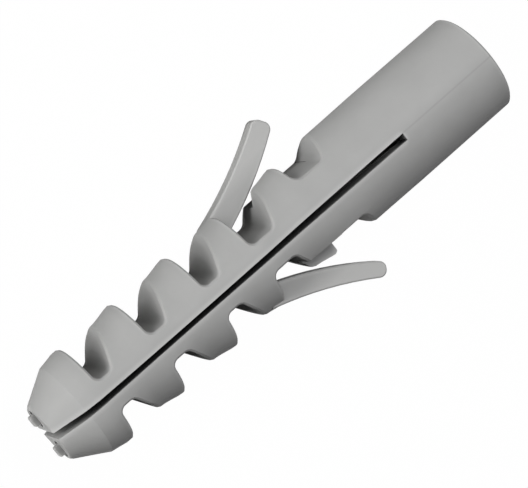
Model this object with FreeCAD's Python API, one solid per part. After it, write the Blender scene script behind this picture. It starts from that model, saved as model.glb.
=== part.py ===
import FreeCAD, Part
import math
import os

from FreeCAD import Vector

os.makedirs("parts", exist_ok=True)

# Expansion wall plug, moulded in one piece. All lengths are in millimetres, all angles in degrees.
# The mouth face is the plane X = 0 and the body runs towards -X. The halves spread along Y and
# the slot between them opens along Z. A depth is counted from the mouth face towards the tip, and
# a height from the axis outwards along Y. Each form is drawn for the +Y half, and turned half
# round about X for the other one. Last of all the plug is rolled about X to how it lies: on its
# teeth and on one tongue.

# Radius of the teeth, which the collar and the first tooth stay inside
tooth_radius = 3.94
collar_inset = 0.03
first_tooth_inset = 0.11

# Collar: straight as far as the slot, then slightly conical down to the first tooth
collar_length = 13.15
mouth_edge_chamfer = 0.14

# Relief between the collar and the first tooth
relief_length = 3.3
relief_floor = 2.42
relief_lean = 31.0
relief_wall_round = 0.6

# Teeth, counted from the collar; each begins with a wall that faces the mouth
tooth_count = 4
tooth_pitch = 4.91
tongue_wall_setback = 0.56
land_length = 2.1
land_drop = 0.33
return_share = 0.45
return_drop_share = 0.55
heel_round = 0.45
heel_slope = 22.0

# Notches in front of the teeth
notch_floor = 1.22
flank_lean = 30.0
wall_foot_round = 0.5
flank_foot_round = 0.6
crown_round = 0.6
crown_slope = 24.0
rim_chamfer = 0.14

# Nose: it follows the teeth as one more of them, a little early
nose_advance = 0.2
nose_heel_round = 0.32
nose_land_flat = 0.6
nose_land_length = 1.79
nose_land_drop = 0.22
nose_cone_length = 2.44
tip_radius = 2.38
tip_edge_chamfer = 0.18

# Gate marks on the tip face
gate_offset = 1.34
gate_width = 0.8
gate_thickness = 0.6
gate_height = 0.42
gate_round = 0.14
gate_pocket_radius = 0.7
gate_pocket_depth = 0.28

# Slot between the halves
slot_start = 8.6
slot_start_width = 0.58
slot_collar_width = 0.55
slot_pinch_depth = 29.5
slot_pinch_width = 0.39
slot_nose_width = 0.5
slot_tip_width = 0.56

# Screw bore
bore_radius = 2.5
bore_taper_length = 10.4
pilot_radius = 0.7

# Locking tongues, rooted on the second tooth
tongue_tooth = 1
tongue_width = 1.4
tongue_offset = 0.5
tongue_root_behind = 0.14
tongue_root_slope = 18.5
tongue_buried = 1.0
first_tongue_sink = 0.11
first_tongue_length = 7.75
first_tongue_bend_radius = 30.0
first_tongue_root_thickness = 1.79
first_tongue_end_thickness = 1.47
second_tongue_sink = 0.18
second_tongue_length = 7.66
second_tongue_bend_radius = 28.0
second_tongue_root_thickness = 1.66
second_tongue_end_thickness = 1.14
tongue_end_round = 0.55
tongue_edge_chamfer = 0.1
tongue_clearance = 0.2

# Reach of a cutting body past the surface that it cuts
overshoot = 1.0

collar_radius = tooth_radius - collar_inset
first_tooth_radius = tooth_radius - first_tooth_inset

AXIS = Vector(1, 0, 0)
ORIGIN = Vector(0, 0, 0)


def tooth_depth(index):
    """Depth at which a tooth begins, or the nose where the index is the number of teeth."""
    advance = nose_advance if index == tooth_count else 0
    return collar_length + relief_length + index * tooth_pitch - advance


def wall_depth(index):
    """Depth of a tooth's wall. The tooth that carries the tongues has its wall set back."""
    return tooth_depth(index) + (tongue_wall_setback if index == tongue_tooth else 0)


def land_end(index):
    """Depth of the edge of a tooth's land that faces the tip."""
    return tooth_depth(index) + land_length


def full_radius(index):
    """Radius of a tooth at the top of its wall."""
    return first_tooth_radius if index == 0 else tooth_radius


def fall(index, depth):
    """How far a tooth's land has fallen at a depth."""
    return land_drop * (depth - wall_depth(index)) / land_length


nose_depth = tooth_depth(tooth_count)
cone_start = nose_depth + nose_land_length
plug_length = cone_start + nose_cone_length
bore_depth = slot_start
pilot_start = bore_depth + bore_taper_length
pilot_end = nose_depth
tongue_root_depth = wall_depth(tongue_tooth) + tongue_root_behind
tongue_root_height = full_radius(tongue_tooth) - fall(tongue_tooth, tongue_root_depth)


def rounded_outline(corners, radii):
    """Closed face in the XY plane with an arc of the given radius at each corner."""
    points = [Vector(x, y, 0) for x, y in corners]
    count = len(points)
    cut_points = []
    for i, radius in enumerate(radii):
        here = points[i]
        to_last = (points[i - 1] - here).normalize()
        to_next = (points[(i + 1) % count] - here).normalize()
        if radius <= 0:
            cut_points.append((here, None, here))
            continue
        half_angle = to_last.getAngle(to_next) / 2
        reach = radius / math.tan(half_angle)
        bisector = (to_last + to_next).normalize()
        middle = here + bisector * (radius / math.sin(half_angle) - radius)
        cut_points.append((here + to_last * reach, middle, here + to_next * reach))
    edges = []
    for i in range(count):
        start, middle, end = cut_points[i]
        if middle is not None:
            edges.append(Part.Arc(start, middle, end).toShape())
        following = cut_points[(i + 1) % count][0]
        if (following - end).Length > 1e-6:
            edges.append(Part.LineSegment(end, following).toShape())
    return Part.Face(Part.Wire(edges))


def turned(corners):
    """Solid of revolution about the plug's axis, from the corners of half its section."""
    return rounded_outline(corners, [0] * len(corners)).revolve(ORIGIN, AXIS, 360)


def through_prism(face, low=None, high=None):
    """Extrude an XY outline along Z, right through the plug unless limits are given."""
    low = -(tooth_radius + overshoot) if low is None else low
    high = tooth_radius + overshoot if high is None else high
    lowered = face.copy()
    lowered.translate(Vector(0, 0, low))
    return lowered.extrude(Vector(0, 0, high - low))


def half_turn(shape):
    """The same form for the other half."""
    other = shape.copy()
    other.rotate(ORIGIN, AXIS, 180)
    return other


def section(depth, radius, drop):
    """Cross-section wire with the given radius along Z and a smaller one along Y."""
    centre = Vector(-depth, 0, 0)
    if drop < 1e-6:
        curve = Part.Circle(centre, AXIS, radius)
        curve.XAxis = Vector(0, 0, 1)
    else:
        curve = Part.Ellipse(centre + Vector(0, 0, radius), centre + Vector(0, radius - drop, 0), centre)
    return Part.Wire(curve.toShape())


def tooth_stretch(index):
    """One tooth and the length of its notch. The outside falls along the land and rises again inside
    the notch, so that it meets the next tooth without a step."""
    start, end, following = wall_depth(index), land_end(index), wall_depth(index + 1)
    radius, following_radius = full_radius(index), full_radius(index + 1)
    stations = [
        section(start, radius, 0),
        section((start + end) / 2, radius, fall(index, end) / 2),
        section(end, radius, fall(index, end)),
        section(end + (following - end) * return_share, (radius + following_radius) / 2,
                fall(index, end) * return_drop_share),
        section(following, following_radius, 0)]
    return Part.makeLoft(stations, True, False)


def collar():
    """Collar and the length of the relief, up to the first tooth."""
    return turned([
        (0, 0), (0, collar_radius - mouth_edge_chamfer), (-mouth_edge_chamfer, collar_radius),
        (-slot_start, collar_radius), (-tooth_depth(0), first_tooth_radius), (-tooth_depth(0), 0)])


def nose():
    return turned([
        (-nose_depth, 0), (-nose_depth, tooth_radius), (-nose_depth - nose_land_flat, tooth_radius),
        (-cone_start, tooth_radius - nose_land_drop), (-plug_length + tip_edge_chamfer, tip_radius),
        (-plug_length, tip_radius - tip_edge_chamfer), (-plug_length, 0)])


def notch(wall, wall_height, corner, corner_height, floor, lean, wall_round, heel=heel_round):
    """Cutting prism between the wall that faces the mouth and the leaning flank of the next tooth."""
    top = tooth_radius + overshoot
    foot = corner + (corner_height - floor) * math.tan(math.radians(lean))
    heel_run = (top - wall_height) / math.tan(math.radians(heel_slope))
    crown_run = (top - corner_height) / math.tan(math.radians(crown_slope))
    outline = rounded_outline(
        [(-wall - heel_run, top), (-wall, wall_height), (-wall, floor), (-foot, floor),
         (-corner, corner_height), (-corner + crown_run, top)],
        [0, heel, wall_round, flank_foot_round, crown_round, 0])
    return through_prism(outline)


def notches():
    """One half's cutting prisms, from the relief behind the collar to the notch behind the nose."""
    cutters = [notch(wall_depth(0), full_radius(0), collar_length, full_radius(0),
                     relief_floor, relief_lean, relief_wall_round)]
    for index in range(tooth_count):
        land_height = full_radius(index) - fall(index, land_end(index))
        heel = nose_heel_round if index + 1 == tooth_count else heel_round
        cutters.append(notch(wall_depth(index + 1), full_radius(index + 1), land_end(index), land_height,
                             notch_floor, flank_lean, wall_foot_round, heel))
    return cutters


def rim_edges(shape):
    """Edges where the walls and floors of the notches meet the round outside of the plug."""
    found = []
    for face in shape.Faces:
        surface = face.Surface
        if isinstance(surface, Part.Plane):
            across = abs(surface.Axis.z) < 1e-6
        elif isinstance(surface, Part.Cylinder):
            across = abs(abs(surface.Axis.z) - 1) < 1e-6
        else:
            across = False
        if not across or abs(face.CenterOfMass.y) < 1e-3:
            continue
        for edge in face.Edges:
            is_line = isinstance(edge.Curve, Part.Line)
            straight_across = is_line and abs(abs(edge.Curve.Direction.z) - 1) < 1e-6
            if not straight_across and not any(edge.isSame(other) for other in found):
                found.append(edge)
    return found


def slot():
    """Cutting body of the slot: square at the collar, pinched on the way and open at the tip."""
    stations = [(slot_start, slot_start_width), (collar_length, slot_collar_width),
                (slot_pinch_depth, slot_pinch_width), (cone_start, slot_nose_width),
                (plug_length, slot_tip_width), (plug_length + overshoot, slot_tip_width)]
    upper = Part.BSplineCurve()
    upper.interpolate([Vector(-depth, width / 2, 0) for depth, width in stations])
    lower = Part.BSplineCurve()
    lower.interpolate([Vector(-depth, -width / 2, 0) for depth, width in stations])
    first = Part.LineSegment(upper.StartPoint, lower.StartPoint)
    last = Part.LineSegment(upper.EndPoint, lower.EndPoint)
    outline = Part.Wire(Part.sortEdges([curve.toShape() for curve in (upper, lower, first, last)])[0])
    return through_prism(Part.Face(outline))


def screw_bore():
    """Plain bore in the collar, then a taper to the pilot hole between the halves."""
    return turned([
        (overshoot, 0), (overshoot, bore_radius), (-bore_depth, bore_radius),
        (-pilot_start, pilot_radius), (-pilot_end, pilot_radius), (-pilot_end - pilot_radius, 0)])


def tongue(length, sink, bend_radius, root_thickness, end_thickness):
    """Locking tongue of the +Y half: it leaves the land and bends outwards towards the mouth."""
    root = Vector(-tongue_root_depth, tongue_root_height - sink, 0)
    slope = math.radians(tongue_root_slope)
    centre = root + Vector(-math.sin(slope), math.cos(slope), 0) * bend_radius

    def along(distance, inwards):
        angle = slope + distance / bend_radius
        return centre + Vector(math.sin(angle), -math.cos(angle), 0) * (bend_radius + inwards)

    middle_thickness = (root_thickness + end_thickness) / 2
    outer = [along(-tongue_buried, 0), along(length / 2, 0), along(length, 0)]
    inner = [along(-tongue_buried, root_thickness), along(length / 2, middle_thickness),
             along(length, end_thickness)]
    outline = Part.Face(Part.Wire([
        Part.Arc(*outer).toShape(),
        Part.LineSegment(outer[2], inner[2]).toShape(),
        Part.Arc(*reversed(inner)).toShape(),
        Part.LineSegment(inner[0], outer[0]).toShape()]))
    blade = through_prism(outline, -tongue_offset - tongue_width, -tongue_offset)
    ends = [edge for edge in blade.Edges
            if abs(edge.Length - tongue_width) < 1e-3 and edge.CenterOfMass.x > outer[1].x
            and abs(edge.tangentAt(edge.FirstParameter).z) > 0.9]
    blade = blade.makeFillet(tongue_end_round, ends)
    borders = [edge for edge in blade.Edges
               if abs(edge.tangentAt(edge.FirstParameter).z) < 0.1
               and edge.CenterOfMass.x > outer[0].x + overshoot / 10]
    return blade.makeChamfer(tongue_edge_chamfer, borders)


def tongues():
    first = tongue(first_tongue_length, first_tongue_sink, first_tongue_bend_radius,
                   first_tongue_root_thickness, first_tongue_end_thickness)
    second = tongue(second_tongue_length, second_tongue_sink, second_tongue_bend_radius,
                    second_tongue_root_thickness, second_tongue_end_thickness)
    return first, half_turn(second)


def tongue_seat():
    """Cut in the first tooth that the folded tongue lies in, open to the side of the plug."""
    far_end = tongue_root_depth - max(first_tongue_length, second_tongue_length) - tongue_clearance
    low = Vector(-wall_depth(tongue_tooth) + tongue_clearance, relief_floor, -tooth_radius - overshoot)
    high = Vector(-far_end, tooth_radius + overshoot, -tongue_offset + tongue_clearance)
    size = high - low
    return Part.makeBox(size.x, size.y, size.z, low)


def gate_mark():
    """Stub of the gate on the tip face, and the pocket that it stands in."""
    centre = Vector(-plug_length, gate_offset, 0)
    pocket = Part.makeCylinder(gate_pocket_radius, gate_pocket_depth + overshoot,
                               centre + Vector(gate_pocket_depth, 0, 0), -AXIS)
    stub = Part.makeBox(gate_pocket_depth + gate_height + overshoot / 2, gate_width, gate_thickness,
                        centre + Vector(-gate_height, -gate_width / 2, -gate_thickness / 2))
    torn_end = [edge for edge in stub.Edges if edge.CenterOfMass.x < centre.x]
    return pocket, stub.makeFillet(gate_round, torn_end)


def lying_roll(tongue_shape):
    """Angle that the plug rolls through before the tongue meets what its teeth lie on."""
    points = tongue_shape.tessellate(0.01)[0]
    return min(math.asin(tooth_radius / math.hypot(point.y, point.z)) - math.atan2(-point.z, point.y)
               for point in points if math.hypot(point.y, point.z) > tooth_radius)


def wall_plug():
    body = collar().fuse([nose()] + [tooth_stretch(index) for index in range(tooth_count)])
    for cutter in notches():
        body = body.cut([cutter, half_turn(cutter)])
    body = body.makeChamfer(rim_chamfer, rim_edges(body))
    seat = tongue_seat()
    body = body.cut([seat, half_turn(seat)])
    first_tongue, second_tongue = tongues()
    body = body.fuse([first_tongue, second_tongue])
    pocket, stub = gate_mark()
    body = body.cut([pocket, half_turn(pocket)])
    body = body.fuse([stub, half_turn(stub)])
    body = body.cut([slot(), screw_bore()]).removeSplitter()
    body.rotate(ORIGIN, AXIS, -math.degrees(lying_roll(first_tongue)))
    return body


plug = wall_plug()
print("plug_body", "valid" if plug.isValid() else "INVALID", "solids", len(plug.Solids),
      "volume", round(plug.Volume, 3), "length", round(plug.BoundBox.XLength, 3))
print("rolled", round(math.degrees(lying_roll(tongues()[0])), 2), "degrees to lie on its teeth and a tongue")
plug.exportStep("parts/plug_body.step")
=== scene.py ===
import bpy
import bmesh
import math
from mathutils import Matrix, Vector


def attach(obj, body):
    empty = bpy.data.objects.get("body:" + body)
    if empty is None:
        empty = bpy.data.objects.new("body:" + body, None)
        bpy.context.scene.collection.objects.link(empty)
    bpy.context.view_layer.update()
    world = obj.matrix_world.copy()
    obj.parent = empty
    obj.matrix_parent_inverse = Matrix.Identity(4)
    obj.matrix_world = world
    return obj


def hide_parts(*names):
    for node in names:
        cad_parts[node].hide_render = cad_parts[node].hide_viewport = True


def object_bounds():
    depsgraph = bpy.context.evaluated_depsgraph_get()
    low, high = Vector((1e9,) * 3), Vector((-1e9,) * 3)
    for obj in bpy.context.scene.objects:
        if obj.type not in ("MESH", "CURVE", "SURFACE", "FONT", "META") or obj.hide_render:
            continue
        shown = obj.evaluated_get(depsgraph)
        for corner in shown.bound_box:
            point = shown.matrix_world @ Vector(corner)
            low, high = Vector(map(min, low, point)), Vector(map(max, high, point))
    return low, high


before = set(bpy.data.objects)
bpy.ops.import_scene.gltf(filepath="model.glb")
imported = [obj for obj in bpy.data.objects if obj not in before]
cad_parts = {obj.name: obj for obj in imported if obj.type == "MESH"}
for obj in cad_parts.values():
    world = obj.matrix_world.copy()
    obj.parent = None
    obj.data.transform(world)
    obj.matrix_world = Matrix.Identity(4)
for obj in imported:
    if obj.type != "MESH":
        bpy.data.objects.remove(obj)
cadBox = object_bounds()
mm = 0.001
alongPlug = Vector((1, 0, 0))
slotLean = math.radians(18.08)  # the slot opens this far from +Z towards +Y, as the plug lies
print("wall plug: packed model loaded")


# Mesh helpers

def newPiece(name, mesh, finish):
    piece = bpy.data.objects.new(name, mesh)
    bpy.context.scene.collection.objects.link(piece)
    mesh.materials.clear()
    mesh.materials.append(finish)
    return piece


def bakeModifiers(piece):
    graph = bpy.context.evaluated_depsgraph_get()
    baked = bpy.data.meshes.new_from_object(piece.evaluated_get(graph))
    piece.modifiers.clear()
    piece.data = baked


# Node helpers: a source is a socket, or a value for the socket that it goes to

def feed(tree, source, socket):
    if isinstance(source, bpy.types.NodeSocket):
        tree.links.new(source, socket)
    else:
        socket.default_value = source


def newNode(tree, kind, **inputs):
    node = tree.nodes.new(kind)
    for name, source in inputs.items():
        feed(tree, source, node.inputs[name.replace("_", " ")])
    return node


def mathNode(tree, kind, operation, sources):
    node = newNode(tree, kind)
    node.operation = operation
    for source, socket in zip(sources, node.inputs):
        feed(tree, source, socket)
    return node


def number(tree, operation, *numbers):
    return mathNode(tree, "ShaderNodeMath", operation, numbers).outputs["Value"]


def measure(tree, operation, *vectors):
    return mathNode(tree, "ShaderNodeVectorMath", operation, vectors).outputs["Value"]


def spread(tree, source, low, high, within=(0.3, 0.7)):
    # Stretches the span within over low to high, and noise runs from about 0.3 to 0.7
    span = newNode(tree, "ShaderNodeMapRange", Value=source, From_Min=within[0], From_Max=within[1],
                   To_Min=low, To_Max=high)
    return span.outputs["Result"]


def grainAt(tree, place, size, detail, roughness=0.55):
    # Noise whose features are about as large as size, in metres
    grain = newNode(tree, "ShaderNodeTexNoise", Vector=place, Scale=1 / size, Detail=detail,
                    Roughness=roughness)
    return grain.outputs["Fac"]


def nearness(tree, reach, inside, samples=12):
    # 1 where nothing is near, 0 deep in a gap or, from the inside, in a thin wall or edge
    near = newNode(tree, "ShaderNodeAmbientOcclusion", Distance=reach)
    near.samples = samples
    near.inside = inside
    return near.outputs["AO"]


def mixTones(tree, share, first, second):
    # The first tone shows where the share is 0, and the second where it is 1
    tone = newNode(tree, "ShaderNodeMix")
    tone.data_type = "RGBA"
    sockets = [socket for socket in tone.inputs if socket.enabled]  # the factor and the two colours
    for source, socket in zip((share, first, second), sockets):
        feed(tree, source, socket)
    return next(socket for socket in tone.outputs if socket.enabled)


def mixShaders(tree, share, first, second):
    both = newNode(tree, "ShaderNodeMixShader")
    for source, socket in zip((share, first.outputs[0], second.outputs[0]), both.inputs):
        feed(tree, source, socket)
    return both.outputs["Shader"]


def layOut(tree, columnWidth=240, rowHeight=320):
    # Each node stands left of all that it feeds, and each pass sets at least one more node right
    column = {node.name: 0 for node in tree.nodes}
    for again in tree.nodes:
        for link in tree.links:
            left, right = link.from_node.name, link.to_node.name
            column[left] = max(column[left], column[right] + 1)
    filled = {}
    for node in tree.nodes:
        row = filled.get(column[node.name], 0)
        filled[column[node.name]] = row + 1
        node.location = (-column[node.name] * columnWidth, -row * rowHeight)


# Nylon

nylonFinish = {
    "lightGrey": (0.385, 0.385, 0.382, 1),  # the tone drifts between these two
    "darkGrey": (0.365, 0.365, 0.362, 1),
    "cloudSize": 2.6 * mm,
    "cloudDetail": 3,
    "thinPaintedLight": (0.49, 0.49, 0.486, 1),  # painted light: thin walls and edges are painted lighter, as where light shines through them and catches their rims
    "thinReach": 0.45 * mm,
    "thinSpan": (0.45, 0.9),
    "tonguePaintedLight": (0.46, 0.46, 0.455, 1),  # painted light: the tongues, which stand this far from the axis, are painted lighter
    "tongueSpan": (4.0 * mm, 5.2 * mm),
    "linePaintedShade": (0.335, 0.335, 0.332, 1),  # painted shade: the faint line along the collar, darkened as a fine groove's shade would be
    "lineFromMiddle": 0.29 * mm,
    "lineSpan": (0.03 * mm, 0.09 * mm),
    "lineEnds": (-8.6 * mm, -8.4 * mm),
    "gapPaintedShade": (0.04, 0.04, 0.041, 1),  # painted shade down in the slot and in narrow gaps, but not at the tip
    "gapReach": 0.9 * mm,
    "gapSpan": (0.3, 0.72),
    "tipSpan": (-39.6 * mm, -37 * mm),
    "shine": 0.12,  # the shine and the skin, a thin gloss, fade out in shelter
    "skin": 0.1,
    "skinDullness": 0.33,
    "shelterReach": 3 * mm,
    "openSpan": (0.7, 1.0),
    "ior": 1.53,
    "dullest": 0.8,
    "glossiest": 0.68,
    "grainSize": 0.12 * mm,
    "grainDetail": 2,
    "grainDepth": 0.0022 * mm,
    "flowSize": 0.9 * mm,
    "flowDetail": 2,
    "flowDepth": 0.012 * mm,
    "glow": 0.04,  # light that spreads a little way in the nylon
    "glowReach": 0.5 * mm,
    "glowTint": (1, 0.95, 0.9),
}


# 1 in thick nylon, 0 on thin walls and edges, where light is painted
def thickShare(tree, finish):
    solid = nearness(tree, finish["thinReach"], inside=True)
    return spread(tree, solid, 0, 1, finish["thinSpan"])


# 1 on the tongues, where light is painted
def tongueLightShare(tree, place, finish):
    outwards = mathNode(tree, "ShaderNodeVectorMath", "MULTIPLY", (place, (0, 1, 1))).outputs["Vector"]
    return spread(tree, measure(tree, "LENGTH", outwards), 0, 1, finish["tongueSpan"])


def paintedShadeLineShare(tree, place, finish):
    # The painted shade line runs on from the slot's edge to the mouth
    acrossSlot = (0, math.cos(slotLean), -math.sin(slotLean))
    fromMiddle = measure(tree, "DOT_PRODUCT", place, acrossSlot)
    fromLine = number(tree, "ABSOLUTE", number(tree, "SUBTRACT", fromMiddle, finish["lineFromMiddle"]))
    onLine = spread(tree, fromLine, 1, 0, finish["lineSpan"])
    onCollar = spread(tree, measure(tree, "DOT_PRODUCT", place, alongPlug), 0, 1, finish["lineEnds"])
    return number(tree, "MULTIPLY", onLine, onCollar)


# 1 where the tone shows, 0 where shade is painted deep in the slot and narrow gaps; the tip is left
# unshaded
def clearOfPaintedShade(tree, place, finish):
    shallow = spread(tree, nearness(tree, finish["gapReach"], inside=False), 0, 1, finish["gapSpan"])
    atTip = spread(tree, measure(tree, "DOT_PRODUCT", place, alongPlug), 1, 0, finish["tipSpan"])
    return number(tree, "MAXIMUM", shallow, atTip)


# Drifting nylon grey, with painted light on thin walls, edges and tongues, and painted shade on the
# collar's line and down in the slot and gaps
def nylonToneWithPaintedLightAndShade(tree, place, finish):
    clouds = grainAt(tree, place, finish["cloudSize"], finish["cloudDetail"])
    tone = mixTones(tree, spread(tree, clouds, 0, 1), finish["darkGrey"], finish["lightGrey"])
    tone = mixTones(tree, thickShare(tree, finish), finish["thinPaintedLight"], tone)
    tone = mixTones(tree, tongueLightShare(tree, place, finish), tone, finish["tonguePaintedLight"])
    tone = mixTones(tree, paintedShadeLineShare(tree, place, finish), tone, finish["linePaintedShade"])
    return mixTones(tree, clearOfPaintedShade(tree, place, finish), finish["gapPaintedShade"], tone)


def mouldedNylon(finish):
    material = bpy.data.materials.new("mouldedNylon")
    material.use_nodes = True
    tree = material.node_tree
    place = newNode(tree, "ShaderNodeTexCoord").outputs["Object"]
    shelter = nearness(tree, finish["shelterReach"], inside=False)
    flow = grainAt(tree, place, finish["flowSize"], finish["flowDetail"])
    grain = grainAt(tree, place, finish["grainSize"], finish["grainDetail"])
    waves = newNode(tree, "ShaderNodeBump", Strength=1, Distance=finish["flowDepth"], Height=flow)
    pores = newNode(tree, "ShaderNodeBump", Strength=1, Distance=finish["grainDepth"], Height=grain,
                    Normal=waves.outputs["Normal"])
    looks = {
        # the base colour holds painted light and painted shade
        "Base Color": nylonToneWithPaintedLightAndShade(tree, place, finish),
        "IOR": finish["ior"],
        "Roughness": spread(tree, grain, finish["glossiest"], finish["dullest"]),
        "Normal": pores.outputs["Normal"],
        "Specular IOR Level": spread(tree, shelter, 0, finish["shine"], finish["openSpan"]),
        "Coat Weight": spread(tree, shelter, 0, finish["skin"], finish["openSpan"]),
        "Coat Roughness": finish["skinDullness"],
        "Subsurface Weight": finish["glow"],
        "Subsurface Radius": finish["glowTint"],
        "Subsurface Scale": finish["glowReach"],
    }
    for name, source in looks.items():
        feed(tree, source, tree.nodes["Principled BSDF"].inputs[name])
    layOut(tree)
    return material


nylon = mouldedNylon(nylonFinish)
print("wall plug: nylon mixed")


# Moulded body: the CAD solid, shaded smooth round its gentle bends

bodyMake = {
    "weldGap": 0.002 * mm,
    "smoothWithin": math.radians(19.5),  # faces that lean less apart than this shade as one
}


def shadeAsMoulded(mesh, within):
    # A corner takes the mean of the faces round its point that lean like its own, so rims stay crisp
    facesAt = [[] for point in mesh.vertices]
    for face in mesh.polygons:
        corners = [mesh.vertices[index].co for index in face.vertices]
        for place, index in enumerate(face.vertices):
            back = corners[place - 1] - corners[place]
            ahead = corners[(place + 1) % len(corners)] - corners[place]
            facesAt[index].append((face.normal.copy(), back.angle(ahead, 0)))
    alike = math.cos(within)
    normals = []
    for face in mesh.polygons:
        for index in face.vertices:
            mean = Vector((0, 0, 0))
            for normal, cornerAngle in facesAt[index]:
                if normal.dot(face.normal) > alike:
                    mean += normal * cornerAngle
            normals.append(mean.normalized())
    mesh.shade_smooth()
    mesh.normals_split_custom_set(normals)


def mouldedBody(make):
    body = newPiece("mouldedBody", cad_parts["plug_body"].data.copy(), nylon)
    weld = body.modifiers.new("weld", "WELD")
    weld.merge_threshold = make["weldGap"]
    bakeModifiers(body)
    shadeAsMoulded(body.data, make["smoothWithin"])
    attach(body, "root")
    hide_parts("plug_body")
    print("wall plug: body shaded,", len(body.data.polygons), "faces")


mouldedBody(bodyMake)


# Floor and surroundings: white to the eye and in gloss, and nearly dark to all other light

surroundings = {
    "floorSize": 1.2,
    "floorCells": 4,
    "floorGrey": (0.12, 0.12, 0.12, 1),
    "seenWhite": (1, 1, 1, 1),
    "whiteShare": 0.99,
    "skyTint": (0.97, 0.98, 1, 1),
    "skyLevel": 0.0,  # at 0 the softboxes alone light the plug
}


def seenDirectly(tree):
    # 1 where the camera, a gloss or a clear piece looks straight at the surface
    rays = newNode(tree, "ShaderNodeLightPath").outputs
    seen = number(tree, "MAXIMUM", rays["Is Camera Ray"], rays["Is Glossy Ray"])
    return number(tree, "MAXIMUM", seen, rays["Is Transmission Ray"])


def paleFloor(make):
    material = bpy.data.materials.new("paleFloor")
    material.use_nodes = True
    tree = material.node_tree
    tree.nodes.remove(tree.nodes["Principled BSDF"])
    seen = seenDirectly(tree)
    tone = mixTones(tree, seen, make["floorGrey"], make["seenWhite"])
    matt = newNode(tree, "ShaderNodeBsdfDiffuse", Color=tone)
    white = newNode(tree, "ShaderNodeEmission", Color=make["seenWhite"], Strength=1)
    surface = mixShaders(tree, number(tree, "MULTIPLY", seen, make["whiteShare"]), matt, white)
    feed(tree, surface, tree.nodes["Material Output"].inputs["Surface"])
    layOut(tree)
    return material


def layFloor(make):
    mesh = bpy.data.meshes.new("floor")
    sheet = bmesh.new()
    bmesh.ops.create_grid(sheet, x_segments=make["floorCells"], y_segments=make["floorCells"],
                          size=make["floorSize"] / 2)
    sheet.to_mesh(mesh)
    sheet.free()
    floor = newPiece("floor", mesh, paleFloor(make))
    floor.location = (0, 0, cadBox[0][2])


def paleSky(make):
    world = bpy.data.worlds.new("paleSky")
    world.use_nodes = True
    bpy.context.scene.world = world
    tree = world.node_tree
    sky = tree.nodes["Background"]
    feed(tree, make["skyTint"], sky.inputs["Color"])
    feed(tree, make["skyLevel"], sky.inputs["Strength"])
    white = newNode(tree, "ShaderNodeBackground", Color=make["seenWhite"], Strength=1)
    surface = mixShaders(tree, seenDirectly(tree), sky, white)
    feed(tree, surface, tree.nodes["World Output"].inputs["Surface"])
    layOut(tree)


layFloor(surroundings)
paleSky(surroundings)
print("wall plug: floor laid")


# Lamps, hung round the middle of the plug: towardsTip is the angle from square on towards the tip, and
# round the angle about the plug's axis from +Z towards +Y, both in degrees

lampStand = {
    "middle": Vector((-20, 0, 0)) * mm,
    "distance": 0.4,
    "softboxes": {
        "sideSoftbox": {"towardsTip": 40, "round": 85, "size": 0.2, "level": 0.47, "tint": (1, 1, 0.99)},
        "tipSoftbox": {"towardsTip": 60, "round": 85, "size": 0.2, "level": 0.53, "tint": (1, 1, 0.99)},
        "highSoftbox": {"towardsTip": 15, "round": 50, "size": 0.2, "level": 0.12, "tint": (1, 1, 0.99)},
        "overheadSoftbox": {
            "towardsTip": -20, "round": 25, "size": 0.2, "level": 0.43, "tint": (0.98, 0.98, 1)},
        "bandSoftbox": {"towardsTip": -14, "round": 38, "size": 0.1, "level": 0.24, "tint": (1, 1, 0.97)},
        "noseSoftbox": {"towardsTip": 75, "round": 50, "size": 0.2, "level": 0.27, "tint": (1, 1, 0.99)},
    },
}


def hangSoftbox(name, make, stand):
    lamp = bpy.data.lights.new(name, "AREA")
    lamp.shape = "SQUARE"
    lamp.size = make["size"]
    lamp.color = make["tint"]
    # A level of 1 lights a facing white surface to white
    lamp.energy = make["level"] * math.pi ** 2 * stand["distance"] ** 2
    box = bpy.data.objects.new(name, lamp)
    tip, side = math.radians(make["towardsTip"]), math.radians(make["round"])
    towards = Vector((-math.sin(tip), math.cos(tip) * math.sin(side), math.cos(tip) * math.cos(side)))
    box.location = stand["middle"] + towards * stand["distance"]
    box.rotation_euler = towards.to_track_quat("Z", "Y").to_euler()
    bpy.context.scene.collection.objects.link(box)


for lampName, lampMake in lampStand["softboxes"].items():
    hangSoftbox(lampName, lampMake, lampStand)
print("wall plug: softboxes hung")


# Camera, as the photograph was taken

photoView = {
    "aim": Vector((-20.31, 0, 0)) * mm,
    "towardsTip": math.radians(13.4),  # from square on to the plug
    "pastSlot": math.radians(11.9),  # round the axis, from facing the slot
    "turn": math.radians(41.267),  # about the line of sight
    "distance": 170 * mm,
    "lens": 167.36,
    "slideRight": 0.027 * mm,
    "slideUp": 0.086 * mm,
    "clipStart": 10 * mm,
}


def setCamera(view):
    roundAxis = view["pastSlot"] + slotLean
    square = Vector((0, math.sin(roundAxis), math.cos(roundAxis)))
    back = math.cos(view["towardsTip"]) * square - math.sin(view["towardsTip"]) * alongPlug
    right = (alongPlug - back * alongPlug.dot(back)).normalized()
    up = back.cross(right)
    cosTurn, sinTurn = math.cos(view["turn"]), math.sin(view["turn"])
    turnedRight = right * cosTurn - up * sinTurn
    turnedUp = right * sinTurn + up * cosTurn
    data = bpy.data.cameras.new("photoCamera")
    data.lens = view["lens"]
    data.clip_start = view["clipStart"]
    camera = bpy.data.objects.new("photoCamera", data)
    pose = Matrix((turnedRight, turnedUp, back)).transposed().to_4x4()
    pose.translation = (view["aim"] + back * view["distance"]
                        + turnedRight * view["slideRight"] + turnedUp * view["slideUp"])
    camera.matrix_world = pose
    bpy.context.scene.collection.objects.link(camera)
    bpy.context.scene.camera = camera


setCamera(photoView)
bpy.context.scene.view_settings.view_transform = "Standard"

print("wall plug: ready")
